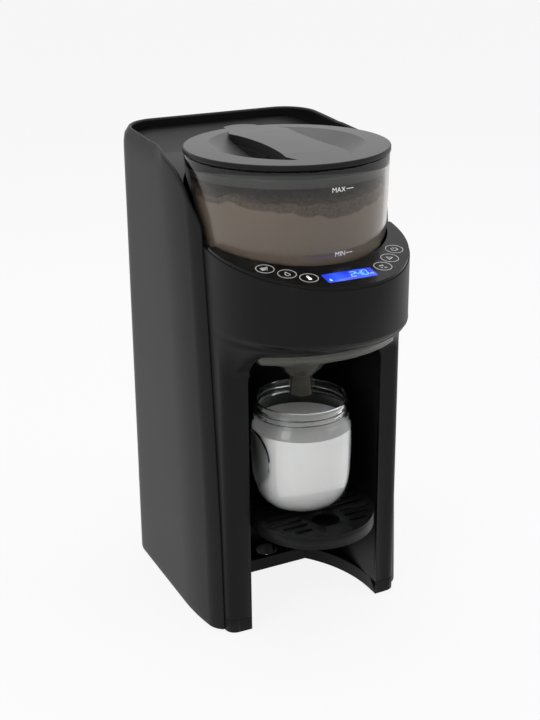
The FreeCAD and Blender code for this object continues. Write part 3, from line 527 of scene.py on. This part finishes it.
def makeShell():
    # A grid with its columns round the plan and its rows from the foot to the rim, less the windows of
    # tank and inlet. Behind the front edge the rim rolls in by inset (1 - sqrt(1 - near^2)).
    width = shellPlan(np.array([shell["foot"]]))[0].shape[-2]
    low, high = (np.full(width, height) for height in shell["search"])
    for step in range(40):  # halving finds where each column meets the rim
        middle = (low + high) / 2
        above = middle > rimHeight(atHeights(middle)[0][:, 1])
        low, high = np.where(above, low, middle), np.where(above, middle, high)
    rim = (low + high) / 2
    counts = atHeights(rim)[1]
    windowColumn = counts[2] - 1
    base = shell["foot"]
    _, windowLow, windowHigh = shell["tankWindow"]
    inletLow, inletHigh = shell["inletWindow"][2:]
    level = rim[windowColumn]
    stops = [base, inletLow, inletHigh, windowLow, windowHigh, level]
    bands = zip(stops, stops[1:], shell["rows"])
    rows = np.concatenate([[base]] + [np.linspace(a, b, n + 1)[1:] for a, b, n in bands])
    fronts = base + (rows[:, None] - base) * (rim - base) / (level - base)
    raised = windowHigh + (rows[:, None] - windowHigh) * (rim - windowHigh) / (level - windowHigh)
    rears = np.where(rows[:, None] > windowHigh, raised, rows[:, None])
    z = np.where(np.arange(width) > windowColumn, rears, fronts)
    plans = atHeights(z)[0]
    along = np.gradient(plans, axis=1)
    along = along / np.linalg.norm(along, axis=-1, keepdims=True)
    inset, fall = shell["roll"]
    near = np.clip(1 - (rim - z) / fall, 0, 1)
    fade = shell["rollColumns"]
    grown = np.clip((np.arange(width) - counts[1] + fade) / fade, 0, 1)
    draw = inset * (1 - np.sqrt(1 - near ** 2)) * grown
    plans = plans + np.stack([-along[..., 1], along[..., 0]], -1) * draw[..., None]
    right = np.concatenate([plans, z[..., None]], -1)
    left = right[:, -2::-1] * (-1, 1, 1)
    points = np.concatenate([right, left], 1)
    columns = points.shape[1]
    faces = gridFaces(len(rows), columns)
    row, column = np.divmod(np.arange(len(faces)), columns - 1)
    inTank = (column >= windowColumn) & (column < columns - 1 - windowColumn)
    slack = shell["slack"]
    inTank &= (rows[row] > windowLow - slack) & (rows[row] < windowHigh - slack)
    inInlet = (column >= counts[4] - 1) & (column < counts[5] - 1)
    inInlet &= (rows[row] > inletLow - slack) & (rows[row] < inletHigh - slack)
    piece = newMesh("bodyShell", points.reshape(-1, 3) * mm, faces[~(inTank | inInlet)], shellBlack)
    thick = piece.modifiers.new("wall", "SOLIDIFY")
    thick.thickness = shell["wall"] * mm
    thick.offset = -1
    thick.use_even_offset = True
    softened(piece, shell["lip"], 4, 50)
    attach(piece, "root")
    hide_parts("outer_shell")


makeShell()
print("shell made")

# Housing, base, deck, hopper, funnel, tray and tank: the CAD's own forms, smoothly shaded
carried("frontHousing", "front_housing", housingBlack, 35)
carried("bayLining", "bay_liner", housingBlack, 35)
carried("baseMoulding", "base_plate", housingBlack, 35)
# The top dish takes the lighter black: painted light.
carried("topDish", "top_deck", dishPaintedLightBlack, 35)
carried("controlPanel", "control_panel", panelGloss, 35)
carried("hopperBowl", "hopper", hopperSmoke, 50)
carried("funnelTray", "funnel", funnelSmoke, 40)
carried("dripTray", "drip_tray", trayBlack, 40)
carried("trayGrille", "tray_grille", trayBlack, 40)
carried("waterTank", "water_tank", tankSmoke, 40)
print("carried pieces made")

# Powder, level marks and the lid's skirt seen through the hopper
bowl = {
    "shares": (0, 0.27, 0.6, 0.88, 1), "radii": (74, 74.9, 77.2, 79.1, 79.2),
    "centres": (-19, -19, -16.7, -14.1, -14),
    "foot": 308.0, "rise": 79.2, "wall": 2.4,
}


def bowlPoint(turn, z, out):
    # A point of the hopper's outer wall moved out by `out`: centre(z) + (R(z) + out) (cos a, sin a).
    share = (z - bowl["foot"]) / bowl["rise"]
    r = np.interp(share, bowl["shares"], bowl["radii"]) + out
    centre = np.interp(share, bowl["shares"], bowl["centres"])
    return np.stack([r * np.cos(turn), centre + r * np.sin(turn), z], -1)


powder = {
    "low": 311.5, "gap": 0.35, "front": 362.0, "climb": 8.0, "spread": 1.15, "rough": 0.8, "seed": 7,
    "loose": 351.0, "coreRadius": 69.3, "coreTop": 344.0, "coreY": -19.0, "centreY": -16.0, "reach": 75.0,
    "crumbBand": 1.5, "guess": 355.0, "camera": -115.9, "steps": 220, "levels": 80, "rings": 60,
    "crowding": 0.9,
}


def ripple(x, y, seed):
    # A sum of sines of growing frequency and shrinking height, each along its own direction.
    chance = np.random.default_rng(seed)
    total = np.zeros(np.broadcast(x, y).shape)
    for k in range(26):
        turn, shift = chance.uniform(0, 2 * math.pi, 2)
        wave = 0.05 * 1.17 ** k
        along = x * math.cos(turn) + y * math.sin(turn)
        total = total + np.sin(along * wave * 2 + shift) * 1.3 / 1.13 ** k
    return total


def makePowder():
    # A closed heap: a wall along the hopper's inside, a hollow core, and a top of height
    # front + climb (far + 1) / spread + rough ripple, with far from -1 near the camera to 1 behind.
    steps = powder["steps"]
    turn = np.arange(steps) * 2 * math.pi / steps
    aim = math.radians(powder["camera"])
    middleY, coreY = powder["centreY"], powder["coreY"]

    def top(x, y):
        far = -(x * math.cos(aim) + (y - middleY) * math.sin(aim)) / powder["reach"]
        climb = powder["climb"] * (far + 1) / powder["spread"]
        return powder["front"] + climb + ripple(x, y, powder["seed"]) * powder["rough"]

    inset = -bowl["wall"] - powder["gap"]
    edge = bowlPoint(turn, np.full(steps, powder["guess"]), inset)
    for step in range(4):
        edge = bowlPoint(turn, top(edge[:, 0], edge[:, 1]), inset)
    share = np.linspace(0, 1, powder["levels"])[:, None]
    wall = bowlPoint(turn[None, :], powder["low"] + (edge[:, 2] - powder["low"]) * share, inset)
    ring = 1 - np.linspace(0, 1, powder["rings"])[1:, None] ** powder["crowding"]
    heapX = edge[:, 0] * ring
    heapY = (edge[:, 1] - middleY) * ring + middleY
    heap = np.stack([heapX, heapY, top(heapX, heapY)], -1)
    core = powder["coreRadius"]
    ceiling = np.stack([core * np.cos(turn), coreY + core * np.sin(turn),
                        np.full(steps, powder["coreTop"])], -1)
    middle = np.broadcast_to(np.array([0.0, coreY, powder["coreTop"]]), (1, steps, 3))
    floor = ceiling.copy()
    floor[:, 2] = powder["low"]
    inner = np.concatenate([middle, ceiling[None], floor[None]])
    outer = np.concatenate([wall, heap])
    points = np.concatenate([inner, outer]).reshape(-1, 3)
    piece = newMesh("powderHeap", points * mm, gridFaces(len(inner) + len(outer), steps, True),
                    powderCream, 60)
    height = np.array([v.co.z for v in piece.data.vertices]) / mm
    x = np.array([v.co.x for v in piece.data.vertices]) / mm
    y = np.array([v.co.y for v in piece.data.vertices]) / mm
    rise = powder["climb"] * np.abs(x) / powder["reach"]
    level = powder["loose"] + rise + ripple(x, y, powder["seed"]) * powder["rough"]
    crumbs = np.clip((height - level) / powder["crumbBand"], 0, 1)
    layer = piece.data.attributes.new("crumbs", "FLOAT", "POINT")
    layer.data.foreach_set("value", crumbs.astype(np.float32))
    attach(piece, "hopper")


makePowder()

skirt = {"wall": 1.8, "low": 373.5, "high": 386.9, "gap": 0.3, "steps": 192,
         "chamfer": 0.5, "step": 6.0, "inset": 0.4}


def makeSkirt():
    # A band that follows the inside of the hopper's wall at every height, with a step in its lower half.
    turn = np.arange(skirt["steps"]) * 2 * math.pi / skirt["steps"]
    out = -bowl["wall"] - skirt["gap"]
    low, high, t = skirt["low"], skirt["high"], skirt["wall"]
    c, inset, step = skirt["chamfer"], skirt["inset"], low + skirt["step"]
    ring = [(-t, high), (-t, low + c), (c - t, low), (-c, low), (0, low + c), (0, step),
            (-inset, step + inset), (-inset, high), (-t, high)]
    points = np.stack([bowlPoint(turn, np.full(len(turn), z), out + x) for x, z in ring])
    piece = newMesh("lidSkirt", points.reshape(-1, 3) * mm, gridFaces(len(ring), len(turn), True),
                    skirtBlue)
    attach(piece, "lid")


makeSkirt()

lid = {
    "centre": (0.0, -14.0), "top": 391.5, "low": 387.5, "radius": 80.0, "flat": 79.0,
    "dome": 2.4, "knee": 45.0, "kneeShare": 0.7, "barEnd": 27.0, "barBend": 274.0, "barReach": 56.0,
    "barShare": 0.42, "ball": 144.125, "ballAt": -8.0, "deep": 16.0, "thick": 2.0, "under": 386.0,
    "collar": (6.0, 4.2, 8.0), "lobe": 18.0, "lobeTurn": (37, 143), "lobeIn": 4.0, "lobeFoot": 8.0,
    "rimEase": 0.2, "rimEdge": ((0, 1), (0.3, 0.3), (1, 0.02), (2, 0.1)),
    "rows": 161, "barColumns": 7, "floorColumns": 17, "borderColumns": 7,
}


def lidHeight(r):
    # The lid's shallow dome: two cones that meet at the knee.
    rise = [lid["dome"], lid["dome"] * lid["kneeShare"], 0.0]
    return lid["top"] + np.interp(r, [0, lid["knee"], lid["flat"]], rise)


def pocketFloor(x, y):
    # The pocket's floor is part of a ball: z = top + R - deep - sqrt(R^2 - (x - x0)^2 - y^2).
    r = lid["ball"]
    return lid["top"] + r - lid["deep"] - np.sqrt(r ** 2 - (x - lid["ballAt"]) ** 2 - y ** 2)


def lidHalf():
    # Half the top, as rows of (x, y, z): bar, pocket wall, pocket floor up to its rim, then the border.
    y = lid["flat"] * np.sin(np.linspace(-math.pi / 2, math.pi / 2, lid["rows"]))
    width = np.sqrt(np.maximum(lid["flat"] ** 2 - y ** 2, 0))
    inside = np.minimum(np.abs(y), lid["barReach"])
    bend, reach = lid["barBend"], lid["barReach"]
    bow = np.sqrt(bend ** 2 - inside ** 2) - math.sqrt(bend ** 2 - reach ** 2)
    edge = np.minimum(lid["barEnd"] - bow, width * lid["barShare"])
    near, far = edge.copy(), width.copy()
    for step in range(30):  # halving finds the pocket's rim in each row
        middle = (near + far) / 2
        inPocket = pocketFloor(middle, y) < lidHeight(np.hypot(middle, y))
        near, far = np.where(inPocket, middle, near), np.where(inPocket, far, middle)
    rim = np.where(pocketFloor(edge, y) < lidHeight(np.hypot(edge, y)), near, edge)
    inner, sunken = lid["barColumns"], lid["floorColumns"]
    bar = edge[:, None] * np.linspace(0, 1, inner)
    floor = edge[:, None] + (rim - edge)[:, None] * np.linspace(0, 1, sunken)
    border = rim[:, None] + (width - rim)[:, None] * np.linspace(0, 1, lid["borderColumns"])[1:]
    x = np.concatenate([bar, floor, border], 1)
    rows = np.repeat(y[:, None], x.shape[1], 1)
    height = lidHeight(np.hypot(x, rows))
    sunk = np.minimum(pocketFloor(x, rows), height)
    column = np.arange(x.shape[1])
    z = np.where((column >= inner) & (column < inner + sunken), sunk, height)
    return np.stack([x, rows, z], -1)


def makeLid():
    # The moulded top with its two pockets, their walls darker as painted shade, the rim with its side
    # darker as painted shade, the underside and the rear lobe.
    right = lidHalf()
    points = np.concatenate([right[:, :0:-1] * (-1, 1, 1), right], 1) + (*lid["centre"], 0)
    rows, columns = points.shape[:2]
    faces = gridFaces(rows, columns)
    column = np.arange(len(faces)) % (columns - 1)
    middle = right.shape[1] - 1
    walls = (column == middle + lid["barColumns"] - 1) | (column == middle - lid["barColumns"])
    below = points.copy()
    below[..., 2] = np.minimum(lid["under"], points[..., 2] - lid["thick"])
    flat = points.reshape(-1, 3)
    both = np.concatenate([flat, below.reshape(-1, 3)]) * mm
    shown = np.concatenate([faces[~walls], faces[:, ::-1] + len(flat)])
    top = newMesh("lidDisc", both, shown, lidSatin, 30)
    # The pocket walls take the darker copy of the lid's plastic: painted shade.
    side = newMesh("lidPocketWalls", flat * mm, faces[walls], lidPaintedShadeBlack, 30)
    r, high, low = lid["radius"], lid["top"], lid["low"]
    inner, outer, drop = lid["collar"]
    ease = lid["rimEase"]
    ring = np.array([(r - inner, lid["under"]), (r - inner, low - drop), (r - outer, low - drop),
                     (r - outer, low), (r - ease, low), (r, low + ease)]
                    + [(r - inward, high - down) for inward, down in lid["rimEdge"]])
    # The rim takes the darker copy of the lid's plastic: painted shade on its side.
    rim = spun("lidRim", ring, lid["centre"], lidPaintedShadeBlack, 192, None, 50)
    lobe = circle(lid["lobe"], 25, *lid["lobeTurn"], (0, r - lid["lobeIn"]))
    foot = r - lid["lobeFoot"]
    lobe = np.concatenate([lobe, [(lobe[-1, 0], foot), (lobe[0, 0], foot)]]) + lid["centre"]
    count = len(lobe)
    levels = [np.column_stack([lobe, np.full(count, z)]) for z in (low, high - 1)]
    ends = [list(range(count - 1, -1, -1)), list(range(count, 2 * count))]
    mesh = bpy.data.meshes.new("lidLobe")
    mesh.from_pydata((np.concatenate(levels) * mm).tolist(), [],
                     gridFaces(2, count, True).tolist() + ends)
    tab = finished("lidLobe", mesh, lidSatin, 30)
    for piece in (top, side, rim, tab):
        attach(piece, "lid")
    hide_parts("hopper_lid")


capitalShare = 0.69  # a capital's height over the font's size


def wordMesh(word, tall):
    # Flat outline of a word in mm, standing on the line y = 0 and starting at x = 0.
    curve = bpy.data.curves.new(word, "FONT")
    curve.body = word
    curve.size = tall / capitalShare
    curve.resolution_u = 3
    holder = bpy.data.objects.new(word, curve)
    bpy.context.scene.collection.objects.link(holder)
    mesh = bpy.data.meshes.new_from_object(holder)
    bpy.data.objects.remove(holder)
    points = np.zeros(len(mesh.vertices) * 3)
    mesh.vertices.foreach_get("co", points)
    faces = [list(f.vertices) for f in mesh.polygons]
    bpy.data.meshes.remove(mesh)
    return points.reshape(-1, 3)[:, :2], faces


def joined(parts):
    # One set of points and faces from several.
    points, faces, start = [], [], 0
    for p, f in parts:
        points.append(np.asarray(p, float))
        faces += [[i + start for i in face] for face in f]
        start += len(p)
    return np.concatenate(points), faces


def bar(low, high):
    return np.array([low, (high[0], low[1]), high, (low[0], high[1])], float), [[0, 1, 2, 3]]


def flatPiece(name, parts, place, material, body, thick=0.15):
    # Flat figures laid on a surface and thickened outwards. `place` maps their (x, y) to points, in mm.
    points, faces = joined(parts)
    mesh = bpy.data.meshes.new(name)
    mesh.from_pydata((place(points[:, 0], points[:, 1]) * mm).tolist(), [], faces)
    piece = finished(name, mesh, material, 30)
    solid = piece.modifiers.new("film", "SOLIDIFY")
    solid.thickness = thick * mm
    solid.offset = 1
    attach(piece, body)
    return piece


marks = {"maxTurn": -92.9, "maxHeight": 370.0, "minTurn": -91.0, "minHeight": 322.0, "tall": 3.6,
         "proud": 0.25, "film": 0.1, "radius": 78.0, "gap": 0.8, "dash": 6.2,
         "dashShares": (0.42, 0.56)}


def makeMarks():
    # Each mark is a word and a dash wrapped on the hopper: x along the wall turns by x / radius.
    for name, word, dash in (("markMax", "MAX", "max"), ("markMin", "MIN", "min")):
        points, faces = wordMesh(word, marks["tall"])
        edge = points[:, 0].max() + marks["gap"]
        low, high = (marks["tall"] * share for share in marks["dashShares"])
        line = bar((edge, low), (edge + marks["dash"], high))
        base = math.radians(marks[dash + "Turn"])

        def onBowl(x, y):
            return bowlPoint(base + x / marks["radius"], marks[dash + "Height"] + y, marks["proud"])

        # The marks' white print glows: painted light.
        flatPiece(name, [(points, faces), line], onBowl, printWhitePaintedGlow, "hopper", marks["film"])


makeMarks()
makeLid()
print("hopper made")

# Control panel: rings and signs in white print with painted glow (the rings a painted reflection of the
# keys' chrome rings), and the lit screen
panel = {"tilt": 9.4, "middle": 332.5}
buttons = {"power": (54.5, -85.9), "start": (42.9, -98.4), "unit": (30.7, -109.1),
           "temperature": (-30.7, -109.1), "water": (-42.9, -98.4), "powder": (-54.5, -85.9)}
ringSize = {"outer": 6.9, "inner": 6.55, "line": 0.42, "proud": 0.02, "film": 0.1}


def onPanel(centre, height):
    # The sloping panel's plane, at s up the slope from y = 0 and h above it:
    # (x, s cos t - h sin t, middle + s sin t + h cos t).
    t = math.radians(panel["tilt"])

    def place(x, y):
        s = centre[1] / math.cos(t) + y
        return np.stack([centre[0] + x, s * math.cos(t) - height * math.sin(t) + 0 * x,
                         panel["middle"] + s * math.sin(t) + height * math.cos(t) + 0 * x], -1)
    return place


def stroke(path, width, closed=False):
    # A line of even width: each point of the path moved half the width both ways along its normal.
    p = np.array(path, float)
    ends = (p[-2:-1], p[1:2]) if closed else (p[:1] * 2 - p[1:2], p[-1:] * 2 - p[-2:-1])
    q = np.concatenate([ends[0], p, ends[1]])
    before = q[1:-1] - q[:-2]
    after = q[2:] - q[1:-1]
    before = before / np.linalg.norm(before, axis=1, keepdims=True)
    after = after / np.linalg.norm(after, axis=1, keepdims=True)
    tangent = before + after
    tangent = tangent / np.linalg.norm(tangent, axis=1, keepdims=True)
    normal = np.stack([-tangent[:, 1], tangent[:, 0]], -1)
    spread = width / 2 / np.maximum((before * tangent).sum(1, keepdims=True), 0.5)
    points = np.concatenate([p - normal * spread, p + normal * spread])
    n = len(p)
    faces = [[i, i + 1, n + i + 1, n + i] for i in range(n - 1)]
    return points, faces


def disc(radius, centre):
    sides = 16
    return circle(radius, sides + 1, centre=centre)[:-1], [list(range(sides))]


def shifted(part, x, y):
    return part[0] + np.array([x, y]), part[1]


line = ringSize["line"]
bulb = np.concatenate([[(-0.8, -1.0)], circle(0.8, 9, 180, 0, (0, 2.3)), [(0.8, -1.0)]])
drop = [(0, 3.0), (-1.1, 0.9), (-1.9, -0.8), (-1.4, -2.3), (0, -2.9), (1.4, -2.3), (1.9, -0.8),
        (1.1, 0.9), (0, 3.0)]
signs = {
    "power": [stroke(circle(2.5, 25, 125, 415), line), stroke([(0, 0.6), (0, 3.1)], line)],
    "start": [stroke([(-1.6, -2.3), (2.5, 0), (-1.6, 2.3), (-1.6, -2.3)], line, True)],
    "unit": [shifted(wordMesh("ml", 2.6), -2.6, 0.2), shifted(wordMesh("oz", 1.9), -0.4, -3.2),
             stroke([(-2.6, -1.4), (-1.4, -2.4)], line)],
    "temperature": [disc(1.35, (0, -1.7)), stroke(bulb, 0.34), stroke([(0, -1.2), (0, 1.4)], 0.6)],
    "water": [stroke(through(drop, 41), line, True)],
    "powder": [stroke([(-3.2, 1.9 - 0.95 * k), (2.6 - 0.75 * k, 1.9 - 0.95 * k)], 0.36) for k in range(5)]
    + [stroke([(2.9, 2.5), (0.4, -2.9)], 0.36)],
}
# Each key's ring stands for its chrome ring: its glowing white is a painted reflection.
for name, centre in buttons.items():
    ring = stroke(circle((ringSize["outer"] + ringSize["inner"]) / 2, 65),
                  ringSize["outer"] - ringSize["inner"], True)
    place, film = onPanel(centre, ringSize["proud"]), ringSize["film"]
    flatPiece(name + "Ring", [ring], place, printWhitePaintedGlow, name + "_key", film)
    glow = printGlow if name == "temperature" else printWhitePaintedGlow
    flatPiece(name + "Sign", signs[name], place, glow, name + "_key", film)

screen = {"half": 20.1, "deep": 13.2, "centre": (0, -114.1), "corner": 1.0, "digit": (3.8, 7.2),
          "gap": 0.28, "line": 0.45, "digitsAt": (0.6, -3.1), "step": 4.9, "slant": 0.1,
          "unit": 2.1, "unitGap": 0.2, "sunk": 1.3, "proud": 0.03, "film": 0.08,
          "signAt": (-17.2, -3.0), "sign": ((-0.9, -1.6), (0.9, -1.6), (0.9, 0.6), (0.4, 1.1),
                                            (0.4, 2.0), (-0.4, 2.0), (-0.4, 1.1), (-0.9, 0.6))}
segments = {"2": "abged", "4": "fgbc", "0": "abcdef"}


def digitParts(sign, x, y):
    # Seven-segment strokes: a top, b and c right, d foot, e and f left, g middle. The figure leans by
    # its slant.
    wide, tall = screen["digit"]
    gap = screen["gap"]
    ends = {
        "a": ((gap, tall), (wide - gap, tall)), "b": ((wide, tall - gap), (wide, tall / 2 + gap)),
        "c": ((wide, tall / 2 - gap), (wide, gap)), "d": ((gap, 0), (wide - gap, 0)),
        "e": ((0, gap), (0, tall / 2 - gap)), "f": ((0, tall / 2 + gap), (0, tall - gap)),
        "g": ((gap, tall / 2), (wide - gap, tall / 2)),
    }
    parts = []
    for key in segments[sign]:
        points, faces = stroke(ends[key], screen["line"])
        parts.append((points + np.stack([points[:, 1] * screen["slant"] + x, 0 * points[:, 1] + y], -1),
                      faces))
    return parts


def makeScreen():
    # A rounded rectangle that fills the panel's window, and flat figures laid just above it.
    half, bend = screen["half"], screen["corner"]
    deep = screen["deep"] / 2 / math.cos(math.radians(panel["tilt"]))
    corners = ((half - bend, deep - bend), (bend - half, deep - bend), (bend - half, bend - deep),
               (half - bend, bend - deep))
    outline = np.concatenate([circle(bend, 7, 90 * k, 90 * k + 90, corner)
                              for k, corner in enumerate(corners)])
    face = flatPiece("screenFace", [(outline, [list(range(len(outline)))])],
                     onPanel(screen["centre"], -screen["sunk"]), screenBlue, "root", screen["sunk"])
    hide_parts("display_window")
    x, y = screen["digitsAt"]
    parts = []
    for place, sign in enumerate("240"):
        parts += digitParts(sign, x + place * screen["step"], y)
    end = x + 3 * screen["step"] + screen["unitGap"]
    parts.append(shifted(wordMesh("ml", screen["unit"]), end, y))
    bottleSign = np.array(screen["sign"]) + screen["signAt"]
    parts.append((bottleSign, [list(range(len(bottleSign)))]))
    flatPiece("screenSigns", parts, onPanel(screen["centre"], screen["proud"]), screenCyan, "root",
              screen["film"])


makeScreen()
print("panel made")

# Bottle and milk
bottle = {
    "stand": 97.9, "tall": 92.2, "centre": (0, -37.7), "wall": 2.0,
    "dimple": 3.4, "dimpleAt": (180.0, 0.0), "grip": (0.44, 46.0, 23.0),
    "outer": ((0, 0.5), (14, 0.3), (22, 0.2), (30, 2.4), (36, 7.3), (40, 14.9), (42.1, 25), (42.8, 40),
              (43.1, 56), (43.1, 66), (42.4, 71.3), (40.7, 75.8), (38.8, 78.8), (38.35, 81),
              (38.35, 85), (38.35, 89.5)),
    "milk": 69.0, "milkGap": (0.25, 0.3), "meniscus": (0.8, 0.2), "floorLift": 0.4, "flatFoot": 20,
    "thread": 1.5, "turns": (79.4, 4.6), "ridge": 0.95, "threaded": (80, 90), "neck": 38.35,
    "neckSlack": 0.4, "points": 90, "steps": 160, "milkSteps": 128,
}


def dimpled(r, z, turn):
    # Finger grips: r drops by d sqrt(1 - (a / w)^2 - ((z - z0) / h)^2) inside each grip's oval.
    lift = z - bottle["stand"]
    wide, middle, tall = bottle["grip"]
    total = 0 * r
    for at in bottle["dimpleAt"]:
        away = (turn - math.radians(at) + math.pi) % (2 * math.pi) - math.pi
        inside = np.clip(1 - (away / wide) ** 2 - ((lift - middle) / tall) ** 2, 0, 1)
        total = total - bottle["dimple"] * np.sqrt(inside) * (r > bottle["flatFoot"])
    return total


def threaded(r, z, turn):
    # The grips, and one thread ridge that winds round the neck, for each of its turns:
    # t exp(-((z - z0 - p a / 2 pi) / w)^2).
    lift = z - bottle["stand"]
    base, pitch = bottle["turns"]
    ridge = 0 * r
    for k in range(2):
        climb = pitch * (turn / (2 * math.pi) + k)
        ridge = ridge + np.exp(-((lift - base - climb) / bottle["ridge"]) ** 2)
    low, high = bottle["threaded"]
    outside = (r > bottle["neck"] - bottle["neckSlack"]) & (lift > low) & (lift < high)
    return dimpled(r, z, turn) + bottle["thread"] * ridge * outside


def makeBottle():
    # The outer profile, a half-round lip and the same profile moved in by the wall, all turned about the
    # bottle's axis. The milk is the inner profile up to its level, closed by a slightly hollow surface.
    stand, wall = bottle["stand"], bottle["wall"]
    outer = through(bottle["outer"], bottle["points"])
    lip = circle(wall / 2, 9, 0, 180, (bottle["neck"] - wall / 2, bottle["tall"] - wall / 2))
    inner = outer[::-1].copy()
    inner[:, 0] = np.maximum(inner[:, 0] - wall, 0)
    inner[:, 1] = np.maximum(inner[:, 1], wall + bottle["floorLift"])
    profile = np.concatenate([outer, lip, inner]) + (0, stand)
    piece = spun("bottleWall", profile, bottle["centre"], bottleClear, bottle["steps"], threaded, 60)
    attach(piece, "bottle")
    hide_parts("bottle")
    fill = inner[inner[:, 1] < bottle["milk"]][::-1].copy()
    sideGap, footGap = bottle["milkGap"]
    fill[:, 0] = np.maximum(fill[:, 0] - sideGap, 0)
    fill[:, 1] += footGap
    creep, dip = bottle["meniscus"]
    level, rim = bottle["milk"], fill[-1, 0]
    surface = np.array([(rim, level), (rim - creep, level - dip), (0, level - dip)])
    profile = np.concatenate([fill, surface]) + (0, stand)
    milk = spun("milk", profile, bottle["centre"], milkWhite, bottle["milkSteps"], dimpled, 60)
    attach(milk, "bottle")


makeBottle()
print("bottle made")
